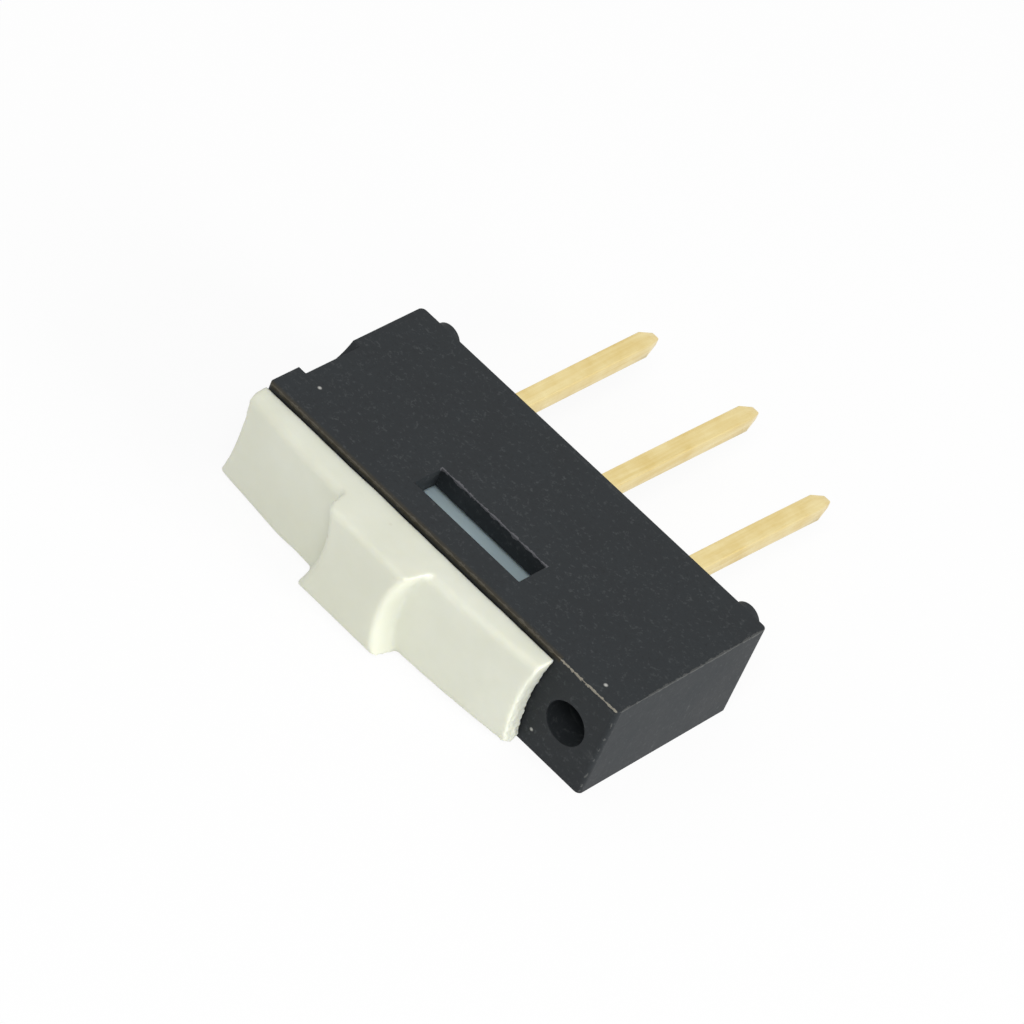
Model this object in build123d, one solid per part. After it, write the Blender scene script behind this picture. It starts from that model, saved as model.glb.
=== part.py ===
from build123d import *
import math
import os

# Miniature slide switch, one pole and two throws, lying on its side.
# +X is the way the slider travels, -Y is the actuator side, +Y is the
# circuit-board side with the pins, and +Z is up through the thickness.
# The origin is the middle of the side face that it lies on. The shapes are
# drawn with y = 0 at the actuator face and moved to the origin at the end.
# All sizes are millimetres.

# ---- housing ----
body_length = 10.0        # X
body_depth = 4.55         # Y, actuator face to board face
body_thick = 2.4          # Z
side_wall = 0.48          # the two broad side walls
body_corner_round = 0.12  # the four long corners along Z

window_length = 3.0       # X, opening in each broad side
window_depth = 0.82       # Y
window_from_front = 0.75  # actuator face to the near edge of the window

end_hole_from_end = 0.92  # centre of each round end hole to the end face
end_hole_dia = 0.98
end_hole_deep = 2.6       # blind

foot_dia = 0.7
foot_high = 0.3
foot_from_end = 0.65      # foot centre to the end face
foot_from_side = 0.47     # foot centre to the side face
foot_root = 0.3           # foot carried on into the housing

scoop_radius = 0.92       # round thumb recess in the left end face
scoop_deep = 0.2
scoop_y = 1.67            # scoop centre to the actuator face
scoop_above = 0.46        # scoop centre beyond the upper side face

# ---- base that closes the board side and carries the terminals ----
base_thick = 1.0          # Y
base_clear = 0.02         # base to its seat, each way
base_inset = 0.06         # base face behind the housing's board face
seat_from_foot = 0.05     # end of the base's seat to the foot
base_chamfer = 0.12       # lead-in on the inner edges

# ---- terminals ----
pitch = 2.54              # between terminals
pin_width = 0.42          # X
pin_thick = 0.42          # Z
pin_reach = 5.25          # outer pins beyond the board face
pin_reach_mid = 5.75      # middle pin beyond the board face
pin_rise = 0.1            # pins above the middle of the thickness
pin_taper_long = 0.4      # tapered tip
pin_tip_width = 0.2
head_space = 1.44         # X, between neighbouring contact heads
head_side_clear = 0.12    # heads to the side walls, on the tighter side
head_high = 0.28          # Y
head_round = 0.1
head_clear = 0.05         # outer heads to the ends of their room

# ---- slider ----
travel = 1.7              # slider movement from one position to the other
slide_gap = 0.04          # plate to the actuator face
plate_drop = 0.11         # plate below the upper side face
plate_end_high = 0.45     # Y, at the ends of the plate
plate_crown = 0.26        # extra height in the middle of the plate
plate_edge_round = 0.18
plate_lift = 0.03         # plate above the face that the switch lies on
end_dish = 0.12           # hollow across each end face of the plate
knob_root = 2.58          # X
knob_top = 2.24           # X
knob_high = 0.5           # Y, beyond the crown
knob_dish = 0.24          # hollow across each flank of the knob
knob_edge_round = 0.14
carrier_length = 4.4      # X, part of the slider inside the housing
carrier_clear = 0.06      # carrier to the side walls, each way
carrier_end_clear = 0.08  # carrier to the ends of its room at each limit
carrier_deep = 2.1        # Y, from the actuator face
skirt_thick = 0.3         # Z, the two skirts beside the contact
skirt_clear = 0.03        # skirt to the contact, each way
snap_proud = 0.14         # ridge that hooks under the window's edge
snap_high = 0.22          # Y
snap_clear = 0.05         # ridge to the window edges

# ---- sliding contact ----
strip_thick = 0.16        # metal thickness, measured along Y
strip_length = 3.5        # X
strip_flat = 1.3          # X, flat middle that the carrier bears on
vee_high = 0.3            # Y, from the flat to the tip of each bend
contact_gap = 0.02        # bend tip to the terminal heads

# ---- derived places ----
mid_z = body_thick / 2
pin_z = mid_z + pin_rise
head_width = pitch - head_space
head_thick = body_thick - 2 * side_wall - 2 * pin_rise - 2 * head_side_clear
half_len = body_length / 2
wall_z0 = side_wall
wall_z1 = body_thick - side_wall
room_carrier = (carrier_length + travel) / 2 + carrier_end_clear
room_heads = pitch + head_width / 2 + head_clear
room_half = max(room_carrier, room_heads)
seat_half = half_len - foot_from_end - foot_dia / 2 - seat_from_foot
base_y1 = body_depth - base_inset
base_y0 = base_y1 - base_thick
head_y0 = base_y0 - head_high
plate_x0 = -half_len
plate_x1 = plate_x0 + body_length - travel
slider_x = (plate_x0 + plate_x1) / 2
plate_thick = body_thick - plate_lift - plate_drop
slider_z = plate_lift + plate_thick / 2
carrier_thick = wall_z1 - wall_z0 - 2 * carrier_clear
carrier_z0 = slider_z - carrier_thick / 2
carrier_z1 = slider_z + carrier_thick / 2
strip_width = carrier_thick - 2 * skirt_thick - 2 * skirt_clear
vee_tip_y = head_y0 - contact_gap
strip_y1 = vee_tip_y - vee_high
strip_y0 = strip_y1 - strip_thick
vee_x = pitch / 2


def box(x0, x1, y0, y1, z0, z1):
    """Plain box between two corners."""
    b = Box(x1 - x0, y1 - y0, z1 - z0)
    return Pos((x0 + x1) / 2, (y0 + y1) / 2, (z0 + z1) / 2) * b


def rod_y(radius, x, z, y0, y1):
    """Round bar along Y."""
    c = Cylinder(radius, y1 - y0)
    return Pos(x, (y0 + y1) / 2, z) * Rot(90, 0, 0) * c


def make_housing():
    h = box(-half_len, half_len, 0, body_depth, 0, body_thick)
    h = fillet(h.edges().filter_by(Axis.Z), body_corner_round)
    # room for the carrier and the contact, open at the actuator face
    h -= box(-room_half, room_half, -1, base_y0 + 0.01, wall_z0, wall_z1)
    # seat for the base, open at the board side
    h -= box(-seat_half, seat_half, base_y0, body_depth + 1, wall_z0, wall_z1)
    # window through both broad sides
    win = window_length / 2
    wy = window_from_front
    h -= box(-win, win, wy, wy + window_depth, -1, body_thick + 1)
    # round end holes from the actuator face
    for side in (-1, 1):
        x = side * (half_len - end_hole_from_end)
        h -= rod_y(end_hole_dia / 2, x, mid_z, -1, end_hole_deep)
    # thumb recess in the left end face, open at the upper side
    disc = Cylinder(scoop_radius, 2 * scoop_deep)
    h -= Pos(-half_len, scoop_y, body_thick + scoop_above) * Rot(0, 90, 0) * disc
    # stand-off feet on the board side
    for side in (-1, 1):
        for z in (foot_from_side, body_thick - foot_from_side):
            x = side * (half_len - foot_from_end)
            h += rod_y(foot_dia / 2, x, z, body_depth - foot_root, body_depth + foot_high)
    return h


def make_base():
    half = seat_half - base_clear
    z0 = wall_z0 + base_clear
    z1 = wall_z1 - base_clear
    b = box(-half, half, base_y0, base_y1, z0, z1)
    ends = b.edges().filter_by(Axis.Z).group_by(Axis.Y)[0]
    b = chamfer(ends, base_chamfer)
    hx = pin_width / 2
    hz = pin_thick / 2
    for x in (-pitch, 0, pitch):
        b -= box(x - hx, x + hx, base_y0 - 1, base_y1 + 1, pin_z - hz, pin_z + hz)
    return b


def make_terminal(x, reach):
    hx = pin_width / 2
    hz = pin_thick / 2
    tip = body_depth + reach
    neck = tip - pin_taper_long
    t = box(x - hx, x + hx, base_y0, neck, pin_z - hz, pin_z + hz)
    wide = Pos(x, neck, pin_z) * Rot(-90, 0, 0) * Rectangle(pin_width, pin_thick)
    small = Pos(x, tip, pin_z) * Rot(-90, 0, 0) * Rectangle(pin_tip_width, pin_tip_width)
    t += loft([wide, small])
    wx = head_width / 2
    wz = head_thick / 2
    head = box(x - wx, x + wx, head_y0, base_y0, pin_z - wz, pin_z + wz)
    head = fillet(head.edges().filter_by(Axis.Z).group_by(Axis.Y)[0], head_round)
    return t + head


def dish_radius(depth):
    """Radius of a hollow of this depth across the slider's thickness."""
    return (plate_thick ** 2 / 4 + depth ** 2) / (2 * depth)


def plate_outline():
    """Outline of the plate seen along Z, with a crowned outer edge."""
    y_in = -slide_gap
    y_end = y_in - plate_end_high
    y_mid = y_end - plate_crown
    inner = Line((plate_x0, y_in), (plate_x1, y_in))
    right = Line((plate_x1, y_in), (plate_x1, y_end))
    outer = ThreePointArc((plate_x1, y_end), (slider_x, y_mid), (plate_x0, y_end))
    left = Line((plate_x0, y_end), (plate_x0, y_in))
    return make_face(Curve() + [inner, right, outer, left])


def make_plate():
    p = Pos(0, 0, plate_lift) * extrude(plate_outline(), plate_thick)
    outer = p.edges().filter_by(GeomType.CIRCLE)
    p = fillet(outer, plate_edge_round)
    dish_r = dish_radius(end_dish)
    for side, x in ((-1, plate_x0), (1, plate_x1)):
        c = Cylinder(dish_r, 6)
        p -= Pos(x + side * (dish_r - end_dish), 0, slider_z) * Rot(90, 0, 0) * c
    return p


def make_knob():
    y_root = -slide_gap - plate_end_high
    y_top = y_root - plate_crown - knob_high
    a = knob_root / 2
    b = knob_top / 2
    pts = [(slider_x - a, y_root), (slider_x + a, y_root), (slider_x + b, y_top), (slider_x - b, y_top)]
    k = Pos(0, 0, plate_lift) * extrude(make_face(Polyline(*pts, pts[0])), plate_thick)
    # hollow flanks: round cutters that lean with the taper
    lean = math.degrees(math.atan2(a - b, y_root - y_top))
    cut_r = dish_radius(knob_dish)
    y_mid = (y_root + y_top) / 2
    for side in (-1, 1):
        c = Cylinder(cut_r, 6)
        out = (a + b) / 2 + (cut_r - knob_dish) / math.cos(math.radians(lean))
        k -= Pos(slider_x + side * out, y_mid, slider_z) * Rot(0, 0, -side * lean) * Rot(90, 0, 0) * c
    return fillet(k.edges().group_by(Axis.Y)[0], knob_edge_round)


def make_carrier():
    x0 = slider_x - carrier_length / 2
    x1 = slider_x + carrier_length / 2
    c = box(x0, x1, -slide_gap - 0.2, carrier_deep, carrier_z0, carrier_z1)
    # skirts on both sides, and a pad between them for the contact
    c += box(x0, x1, carrier_deep - 0.1, strip_y1, carrier_z0, carrier_z0 + skirt_thick)
    c += box(x0, x1, carrier_deep - 0.1, strip_y1, carrier_z1 - skirt_thick, carrier_z1)
    pad = strip_flat / 2
    c += box(slider_x - pad, slider_x + pad, carrier_deep - 0.1, strip_y0, carrier_z0, carrier_z1)
    # snap ridges that keep the slider in, one in each window
    half = (window_length - travel) / 2 - snap_clear
    y0 = window_from_front + snap_clear
    z0 = carrier_z0 - snap_proud
    z1 = carrier_z1 + snap_proud
    c += box(slider_x - half, slider_x + half, y0, y0 + snap_high, z0, z1)
    return c


def make_contact():
    """Bent strip with two bends that slide on the terminal heads."""
    end = strip_length / 2
    flat = strip_flat / 2
    line = [(-end, 0), (-vee_x, vee_high), (-flat, 0), (flat, 0), (vee_x, vee_high), (end, 0)]
    inner = [(slider_x + x, strip_y0 + y) for x, y in line]
    outer = [(slider_x + x, strip_y1 + y) for x, y in reversed(line)]
    outline = make_face(Polyline(*inner, *outer, inner[0]))
    return Pos(0, 0, slider_z - strip_width / 2) * extrude(outline, strip_width)


def main():
    os.makedirs("parts", exist_ok=True)
    nodes = {
        "housing": make_housing(),
        "base": make_base(),
        "terminal_left": make_terminal(-pitch, pin_reach),
        "terminal_common": make_terminal(0, pin_reach_mid),
        "terminal_right": make_terminal(pitch, pin_reach),
        "slider": make_plate() + make_knob() + make_carrier(),
        "contact_bridge": make_contact(),
    }
    for name, shape in nodes.items():
        placed = Pos(0, -body_depth / 2, 0) * shape
        export_step(placed, "parts/" + name + ".step")


main()
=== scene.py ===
import math

import bmesh
import bpy
from mathutils import Matrix, Vector, noise


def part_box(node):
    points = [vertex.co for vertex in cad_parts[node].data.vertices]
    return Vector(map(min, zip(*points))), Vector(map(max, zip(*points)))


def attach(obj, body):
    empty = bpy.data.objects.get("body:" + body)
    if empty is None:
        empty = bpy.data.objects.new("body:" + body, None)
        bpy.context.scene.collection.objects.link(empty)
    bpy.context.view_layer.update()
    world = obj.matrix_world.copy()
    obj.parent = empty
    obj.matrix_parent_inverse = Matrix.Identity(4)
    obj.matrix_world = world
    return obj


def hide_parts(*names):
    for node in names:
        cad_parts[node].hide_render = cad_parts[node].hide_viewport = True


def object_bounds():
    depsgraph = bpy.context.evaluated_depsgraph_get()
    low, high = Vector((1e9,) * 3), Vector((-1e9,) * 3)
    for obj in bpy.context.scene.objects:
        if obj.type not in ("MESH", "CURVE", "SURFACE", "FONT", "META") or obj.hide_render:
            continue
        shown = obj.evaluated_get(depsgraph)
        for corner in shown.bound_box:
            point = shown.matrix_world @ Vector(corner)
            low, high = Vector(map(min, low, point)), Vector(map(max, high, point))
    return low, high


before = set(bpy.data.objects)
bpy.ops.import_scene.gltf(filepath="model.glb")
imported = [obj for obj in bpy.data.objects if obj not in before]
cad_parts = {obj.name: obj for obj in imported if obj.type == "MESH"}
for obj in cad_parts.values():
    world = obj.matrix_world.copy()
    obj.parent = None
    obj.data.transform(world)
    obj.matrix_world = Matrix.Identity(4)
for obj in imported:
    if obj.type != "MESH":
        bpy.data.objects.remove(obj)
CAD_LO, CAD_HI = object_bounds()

MM = 0.001
scene = bpy.context.scene
H_LO, H_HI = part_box("housing")
S_LO, S_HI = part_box("slider")


# ---------------------------------------------------------------- materials
def new_material(name):
    mat = bpy.data.materials.new(name)
    mat.use_nodes = True
    tree = mat.node_tree
    bsdf = tree.nodes["Principled BSDF"]
    return mat, tree, bsdf


def link(tree, a, b):
    tree.links.new(a, b)


def coords(tree):
    n = tree.nodes.new("ShaderNodeTexCoord")
    return n.outputs["Object"]


def noise_node(tree, co, scale, detail=4.0, rough=0.55):
    n = tree.nodes.new("ShaderNodeTexNoise")
    n.inputs["Scale"].default_value = scale
    n.inputs["Detail"].default_value = detail
    n.inputs["Roughness"].default_value = rough
    link(tree, co, n.inputs["Vector"])
    return n.outputs["Fac"]


def ramp(tree, fac, stops):
    n = tree.nodes.new("ShaderNodeValToRGB")
    e = n.color_ramp.elements
    while len(e) < len(stops):
        e.new(0.5)
    for item, (pos, col) in zip(e, stops):
        item.position = pos
        item.color = (col[0], col[1], col[2], 1.0)
    link(tree, fac, n.inputs["Fac"])
    return n.outputs["Color"]


def mix(tree, fac, a, b):
    n = tree.nodes.new("ShaderNodeMix")
    n.data_type = "RGBA"
    for sock, val in ((n.inputs[0], fac), (n.inputs[6], a), (n.inputs[7], b)):
        if hasattr(val, "links"):
            link(tree, val, sock)
        elif isinstance(val, (int, float)):
            sock.default_value = val
        else:
            sock.default_value = (val[0], val[1], val[2], 1.0)
    return n.outputs[2]


def math_node(tree, op, a, b=0.0):
    n = tree.nodes.new("ShaderNodeMath")
    n.operation = op
    for sock, val in ((n.inputs[0], a), (n.inputs[1], b)):
        if hasattr(val, "links"):
            link(tree, val, sock)
        else:
            sock.default_value = val
    return n.outputs[0]


def span(tree, value, lo, hi, to_lo=0.0, to_hi=1.0):
    n = tree.nodes.new("ShaderNodeMapRange")
    n.clamp = True
    n.inputs["From Min"].default_value = lo
    n.inputs["From Max"].default_value = hi
    n.inputs["To Min"].default_value = to_lo
    n.inputs["To Max"].default_value = to_hi
    link(tree, value, n.inputs["Value"])
    return n.outputs["Result"]


def bump(tree, bsdf, parts):
    last = None
    for height, strength, dist in parts:
        n = tree.nodes.new("ShaderNodeBump")
        n.inputs["Strength"].default_value = strength
        n.inputs["Distance"].default_value = dist
        link(tree, height, n.inputs["Height"])
        if last is not None:
            link(tree, last, n.inputs["Normal"])
        last = n.outputs["Normal"]
    link(tree, last, bsdf.inputs["Normal"])


def plastic_black():
    """Matte black moulded plastic: fine eroded grain, faint rub marks and dust."""
    mat, t, b = new_material("case_plastic")
    co = coords(t)
    grain = noise_node(t, co, 26000, 2.0, 0.6)
    cloud = noise_node(t, co, 900, 4.0, 0.6)
    blotch = noise_node(t, co, 320, 3.0, 0.5)
    base = ramp(t, cloud, [(0.3, (0.011, 0.0135, 0.0155)), (0.72, (0.018, 0.0215, 0.024))])
    speck = noise_node(t, co, 9000, 3.0, 0.75)
    base = mix(t, span(t, speck, 0.56, 0.74, 0.0, 0.6), base, (0.055, 0.06, 0.062))
    base = mix(t, span(t, speck, 0.28, 0.42, 0.55, 0.0), base, (0.008, 0.009, 0.01))
    # scuffs that run along the length
    m = t.nodes.new("ShaderNodeMapping")
    m.inputs["Rotation"].default_value = (0.0, 0.0, 0.5)
    m.inputs["Scale"].default_value = (300, 5200, 1400)
    link(t, co, m.inputs["Vector"])
    streak = noise_node(t, m.outputs["Vector"], 1.0, 3.0, 0.7)
    rub = span(t, streak, 0.62, 0.78)
    patch = span(t, blotch, 0.5, 0.68)
    rubbed = math_node(t, "MULTIPLY", rub, patch)
    base = mix(t, math_node(t, "MULTIPLY", rubbed, 0.45), base, (0.075, 0.08, 0.08))
    # dust: sparse pale specks
    v = t.nodes.new("ShaderNodeTexVoronoi")
    v.inputs["Scale"].default_value = 2300
    link(t, co, v.inputs["Vector"])
    near = span(t, v.outputs["Distance"], 0.05, 0.13, 1.0, 0.0)
    pick = t.nodes.new("ShaderNodeSeparateColor")
    link(t, v.outputs["Color"], pick.inputs["Color"])
    few = span(t, pick.outputs[0], 0.955, 0.97)
    dust = math_node(t, "MULTIPLY", near, few)
    base = mix(t, math_node(t, "MULTIPLY", dust, 0.85), base, (0.5, 0.5, 0.47))
    # paler edges beside the slider and at the right end
    x0, x1 = H_LO[0], H_HI[0]
    y0, z1 = H_LO[1], H_HI[2]
    xyz = t.nodes.new("ShaderNodeSeparateXYZ")
    link(t, co, xyz.inputs["Vector"])
    dx = math_node(t, "ABSOLUTE", math_node(t, "SUBTRACT", xyz.outputs["X"], x1))
    dy = math_node(t, "ABSOLUTE", math_node(t, "SUBTRACT", xyz.outputs["Y"], y0))
    dz = math_node(t, "ABSOLUTE", math_node(t, "SUBTRACT", xyz.outputs["Z"], z1))
    front_top = math_node(t, "MAXIMUM", dy, dz)
    right_top = math_node(t, "MAXIMUM", dx, dz)
    right_front = math_node(t, "MAXIMUM", dx, dy)
    nearest = math_node(t, "MINIMUM", front_top, math_node(t, "MINIMUM", right_top, right_front))
    frayed = noise_node(t, co, 5200, 4.0, 0.7)
    wide = span(t, frayed, 0.42, 0.7, 0.00001, 0.00007)
    edge = math_node(t, "LESS_THAN", nearest, wide)
    front_edge = math_node(t, "LESS_THAN", front_top, wide)
    right_part = span(t, xyz.outputs["X"], 0.0031, 0.0034, 0.12, 0.8)
    base = mix(t, math_node(t, "MULTIPLY", edge, 0.16), base, (0.3, 0.3, 0.28))
    base = mix(t, math_node(t, "MULTIPLY", front_edge, right_part), base, (0.27, 0.25, 0.2))
    # painted highlight: the far upper edge of the window is paler, as where light catches it
    rim_highlight = math_node(t, "ABSOLUTE", math_node(t, "SUBTRACT", xyz.outputs["Y"], y0 + 0.00157))
    rim_highlight = math_node(t, "LESS_THAN", math_node(t, "MAXIMUM", rim_highlight, dz), math_node(t, "MULTIPLY", wide, 1.2))
    rim_highlight = math_node(t, "MULTIPLY", rim_highlight, math_node(t, "LESS_THAN", math_node(t, "ABSOLUTE", xyz.outputs["X"]), 0.00152))
    base = mix(t, math_node(t, "MULTIPLY", rim_highlight, 0.6), base, (0.13, 0.13, 0.14))
    # thin brownish film on the front upper edge, as far as the slider reaches at rest
    film = span(t, front_top, 0.00002, 0.00013, 0.6, 0.0)
    film = math_node(t, "MULTIPLY", film, math_node(t, "LESS_THAN", xyz.outputs["X"], S_HI[0] + 0.0001))
    base = mix(t, film, base, (0.045, 0.034, 0.014))
    link(t, base, b.inputs["Base Color"])
    link(t, span(t, cloud, 0.3, 0.7, 0.54, 0.68), b.inputs["Roughness"])
    b.inputs["Specular IOR Level"].default_value = 0.24
    bump(t, b, [(grain, 0.16, 0.00001), (blotch, 0.25, 0.00002)])
    return mat


def plastic_ivory():
    """Ivory plastic, slightly translucent, with faint mottling and tiny pits."""
    mat, t, b = new_material("slider_plastic")
    co = coords(t)
    cloud = noise_node(t, co, 420, 4.0, 0.6)
    fine = noise_node(t, co, 7000, 3.0, 0.6)
    grain = noise_node(t, co, 24000, 2.0, 0.6)
    base = ramp(t, cloud, [(0.3, (0.655, 0.665, 0.545)), (0.72, (0.72, 0.735, 0.635))])
    v = t.nodes.new("ShaderNodeTexVoronoi")
    v.inputs["Scale"].default_value = 2600
    link(t, co, v.inputs["Vector"])
    near = span(t, v.outputs["Distance"], 0.05, 0.16, 1.0, 0.0)
    pick = t.nodes.new("ShaderNodeSeparateColor")
    link(t, v.outputs["Color"], pick.inputs["Color"])
    few = span(t, pick.outputs[1], 0.93, 0.96)
    mark = math_node(t, "MULTIPLY", near, few)
    base = mix(t, math_node(t, "MULTIPLY", mark, 0.35), base, (0.42, 0.38, 0.25))
    # painted shade: the slider is darker and grey-blue where it lies inside the case, in the window's recess
    split = t.nodes.new("ShaderNodeSeparateXYZ")
    link(t, co, split.inputs["Vector"])
    shaded_inside = span(t, split.outputs["Y"], H_LO[1] + 0.0001, H_LO[1] + 0.0003)
    base = mix(t, shaded_inside, base, (0.36, 0.45, 0.48))
    link(t, base, b.inputs["Base Color"])
    link(t, span(t, cloud, 0.3, 0.7, 0.42, 0.54), b.inputs["Roughness"])
    b.inputs["Subsurface Weight"].default_value = 0.25
    b.inputs["Subsurface Radius"].default_value = (1.0, 0.85, 0.5)
    b.inputs["Subsurface Scale"].default_value = 0.0003
    bump(t, b, [(grain, 0.12, 0.00001), (fine, 0.12, 0.00001), (cloud, 0.2, 0.00003)])
    return mat


def metal(name, low, high, rough, streak_scale):
    """Gold or bronze, rolled along Y, with fine lengthwise lines and stain."""
    mat, t, b = new_material(name)
    co = coords(t)
    m = t.nodes.new("ShaderNodeMapping")
    m.inputs["Scale"].default_value = streak_scale
    link(t, co, m.inputs["Vector"])
    streak = noise_node(t, m.outputs["Vector"], 1.0, 4.0, 0.65)
    cloud = noise_node(t, co, 1500, 4.0, 0.6)
    both = math_node(t, "ADD", math_node(t, "MULTIPLY", streak, 0.5), math_node(t, "MULTIPLY", cloud, 0.5))
    base = ramp(t, both, [(0.32, low), (0.66, high)])
    link(t, base, b.inputs["Base Color"])
    b.inputs["Metallic"].default_value = 1.0
    link(t, span(t, both, 0.3, 0.7, rough + 0.1, rough - 0.05), b.inputs["Roughness"])
    bump(t, b, [(streak, 0.25, 0.000008), (cloud, 0.2, 0.00001)])
    return mat


BLACK = plastic_black()
IVORY = plastic_ivory()
GOLD = metal("pin_gold", (0.70, 0.53, 0.20), (0.86, 0.73, 0.39), 0.3, (9000, 350, 9000))
BRONZE = metal("contact_bronze", (0.55, 0.33, 0.15), (0.74, 0.50, 0.28), 0.35, (500, 9000, 9000))


# ---------------------------------------------------------------- pieces
def copy_node(node, name, mat, body):
    """A new object with the node's surface, its flat faces made whole."""
    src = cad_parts[node]
    bm = bmesh.new()
    bm.from_mesh(src.data)
    bmesh.ops.remove_doubles(bm, verts=bm.verts, dist=0.5e-6)
    bmesh.ops.dissolve_limit(bm, angle_limit=math.radians(0.6), verts=bm.verts, edges=bm.edges)
    me = bpy.data.meshes.new(name)
    bm.to_mesh(me)
    bm.free()
    ob = bpy.data.objects.new(name, me)
    scene.collection.objects.link(ob)
    me.materials.clear()
    me.materials.append(mat)
    for p in me.polygons:
        p.material_index = 0
    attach(ob, body)
    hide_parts(node)
    return ob


def apply_all(ob):
    dep = bpy.context.evaluated_depsgraph_get()
    dep.update()
    me = bpy.data.meshes.new_from_object(ob.evaluated_get(dep))
    old = ob.data
    ob.modifiers.clear()
    ob.data = me
    bpy.data.meshes.remove(old)


def soften(ob, width, segments=3, angle=32):
    """Rounds the moulded edges and keeps the flat faces flat."""
    m = ob.modifiers.new("edge", "BEVEL")
    m.width = width
    m.segments = segments
    m.limit_method = "ANGLE"
    m.angle_limit = math.radians(angle)
    m.use_clamp_overlap = True
    m.harden_normals = False
    m.miter_outer = "MITER_ARC"
    n = ob.modifiers.new("normals", "WEIGHTED_NORMAL")
    n.keep_sharp = True
    for p in ob.data.polygons:
        p.use_smooth = True
    apply_all(ob)


housing = copy_node("housing", "housing_shell", BLACK, "case_body")
soften(housing, 0.045 * MM)
base = copy_node("base", "base_plate", BLACK, "case_body")
soften(base, 0.03 * MM)


def melt(ob, voxel, rounds, keep_from):
    """Remeshes evenly and relaxes, which rounds the corners."""
    lo = Vector([min(v.co[i] for v in ob.data.vertices) for i in range(3)])
    hi = Vector([max(v.co[i] for v in ob.data.vertices) for i in range(3)])
    m = ob.modifiers.new("remesh", "REMESH")
    m.mode = "VOXEL"
    m.voxel_size = voxel
    m.use_smooth_shade = True
    apply_all(ob)
    # the edges against the case stay crisp
    free = ob.vertex_groups.new(name="free")
    for v in ob.data.vertices:
        w = min(1.0, max(0.0, (keep_from - v.co.y) / (0.2 * MM)))
        free.add([v.index], w, "REPLACE")
    r = ob.modifiers.new("relax", "SMOOTH")
    r.factor = 0.5
    r.iterations = rounds
    r.vertex_group = "free"
    apply_all(ob)
    places = [v.co.copy() for v in ob.data.vertices]
    normals = [v.normal.copy() for v in ob.data.vertices]
    flat = []
    for co, n in zip(places, normals):
        wob = noise.noise(co / (0.9 * MM)) * 0.012 * MM
        fine = noise.noise(co / (0.22 * MM) + Vector((7, 1, 3))) * 0.004 * MM
        # torn flash on the outer edge at the right end
        end = max(0.0, 1.0 - (hi.x - co.x) / (0.22 * MM))
        torn = noise.noise(co / (0.09 * MM)) * 0.05 * MM * end if co.z < hi.z - 0.5 * MM else 0.0
        p = co + n * (wob + fine + torn)
        flat += [min(max(p[i], lo[i]), hi[i]) for i in range(3)]
    ob.data.vertices.foreach_set("co", flat)
    ob.data.update()
    for p in ob.data.polygons:
        p.use_smooth = True


slider = copy_node("slider", "slider_moulding", IVORY, "slider_body")
melt(slider, 0.04 * MM, 7, H_LO[1] - 0.1 * MM)


def bend_pin(ob, drop, aside):
    """Lets a pin drop and lean aside towards its tip."""
    start = H_HI[1]
    end = max(v.co.y for v in ob.data.vertices)
    for v in ob.data.vertices:
        k = max(0.0, (v.co.y - start) / (end - start))
        v.co.z -= drop * k ** 1.2
        v.co.x += aside * k ** 1.2


def make_pins():
    bends = {"terminal_left": (0.05, 0.0), "terminal_common": (0.14, 0.04), "terminal_right": (0.16, 0.07)}
    for node, (drop, aside) in bends.items():
        pin = copy_node(node, node + "_pin", GOLD, "case_body")
        sub_cut(pin)
        bend_pin(pin, drop * MM, aside * MM)
        soften(pin, 0.035 * MM, 3, 20)


def sub_cut(ob):
    """Cuts the long faces across, so that the pin can bend smoothly."""
    bm = bmesh.new()
    bm.from_mesh(ob.data)
    lo = H_HI[1]
    hi = max(v.co.y for v in bm.verts)
    for i in range(1, 8):
        y = lo + (hi - lo) * i / 9
        geom = bm.verts[:] + bm.edges[:] + bm.faces[:]
        bmesh.ops.bisect_plane(bm, geom=geom, plane_co=(0, y, 0), plane_no=(0, 1, 0))
    bm.to_mesh(ob.data)
    bm.free()


make_pins()
bridge = copy_node("contact_bridge", "bridge_contact", BRONZE, "slider_body")
soften(bridge, 0.03 * MM, 2)


# ---------------------------------------------------------------- stage
def floor_material():
    mat, t, b = new_material("floor_white")
    out = t.nodes["Material Output"]
    b.inputs["Base Color"].default_value = (0.86, 0.86, 0.86, 1)
    b.inputs["Roughness"].default_value = 0.9
    path = t.nodes.new("ShaderNodeLightPath")
    glow = t.nodes.new("ShaderNodeEmission")
    glow.inputs["Color"].default_value = (1, 1, 1, 1)
    glow.inputs["Strength"].default_value = 1.0
    mixer = t.nodes.new("ShaderNodeMixShader")
    seen = math_node(t, "MAXIMUM", path.outputs["Is Camera Ray"], path.outputs["Is Glossy Ray"])
    seen = math_node(t, "MAXIMUM", seen, path.outputs["Is Transmission Ray"])
    link(t, math_node(t, "MULTIPLY", seen, 0.9), mixer.inputs[0])
    link(t, b.outputs[0], mixer.inputs[1])
    link(t, glow.outputs[0], mixer.inputs[2])
    link(t, mixer.outputs[0], out.inputs["Surface"])
    return mat


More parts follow.
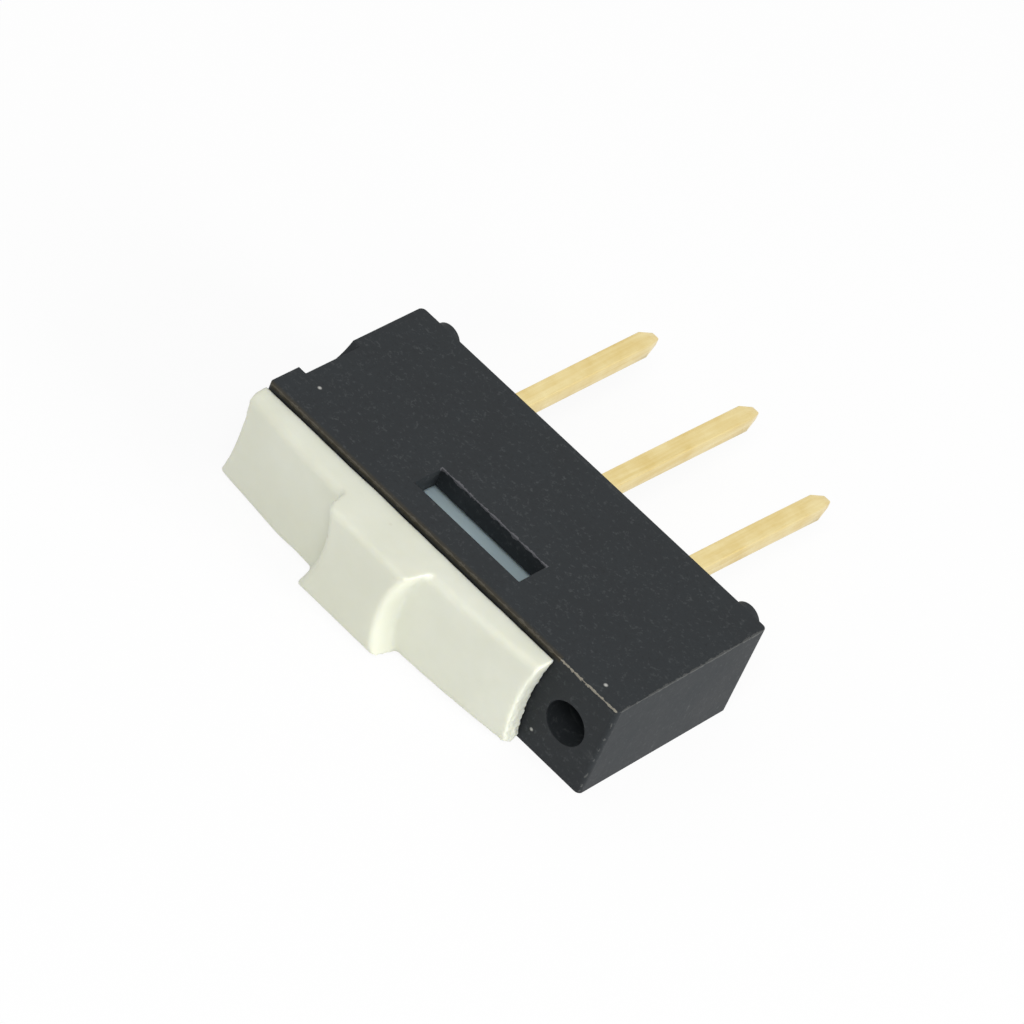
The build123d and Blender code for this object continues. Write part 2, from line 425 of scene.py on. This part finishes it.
def make_floor():
    me = bpy.data.meshes.new("floor")
    r = 0.6
    z = CAD_LO[2]
    me.from_pydata([(-r, -r, z), (r, -r, z), (r, r, z), (-r, r, z)], [], [(0, 1, 2, 3)])
    me.materials.append(floor_material())
    ob = bpy.data.objects.new("floor", me)
    scene.collection.objects.link(ob)


make_floor()

world = bpy.data.worlds.new("world")
world.use_nodes = True
scene.world = world
wt = world.node_tree
bg = wt.nodes["Background"]
bg.inputs["Color"].default_value = (1, 1, 1, 1)
path = wt.nodes.new("ShaderNodeLightPath")
seen = math_node(wt, "MAXIMUM", path.outputs["Is Camera Ray"], path.outputs["Is Glossy Ray"])
seen = math_node(wt, "MAXIMUM", seen, path.outputs["Is Transmission Ray"])
plain = span(wt, seen, 0.0, 1.0, 0.54, 1.0)
wt.links.new(plain, bg.inputs["Strength"])


def lamp(name, place, target, size, power):
    data = bpy.data.lights.new(name, "AREA")
    data.shape = "DISK"
    data.size = size
    data.energy = power
    ob = bpy.data.objects.new(name, data)
    ob.location = place
    look = Vector(target) - Vector(place)
    ob.rotation_euler = look.to_track_quat("-Z", "Y").to_euler()
    scene.collection.objects.link(ob)


lamp("key", (0.05, -0.12, 0.17), (0, 0, 0.001), 0.10, 0.19)
lamp("right", (0.17, 0.02, 0.05), (0, 0, 0.001), 0.09, 0.25)


# ---------------------------------------------------------------- camera
def make_camera():
    data = bpy.data.cameras.new("camera")
    data.sensor_width = 36.0
    data.lens = 6000.0 / 1024.0 * 36.0
    data.clip_start = 0.001
    data.clip_end = 10.0
    ob = bpy.data.objects.new("camera", data)
    right = Vector((0.68435, 0.65824, 0.31368))
    up = Vector((-0.64585, 0.34752, 0.67979))
    back = right.cross(up)
    rot = Matrix((right, up, back)).transposed().to_4x4()
    front = H_LO[1]
    place = Vector((40.089 * MM, -76.922 * MM + front, 80.766 * MM))
    ob.matrix_world = Matrix.Translation(place) @ rot
    scene.collection.objects.link(ob)
    scene.camera = ob


make_camera()
scene.view_settings.view_transform = "Standard"
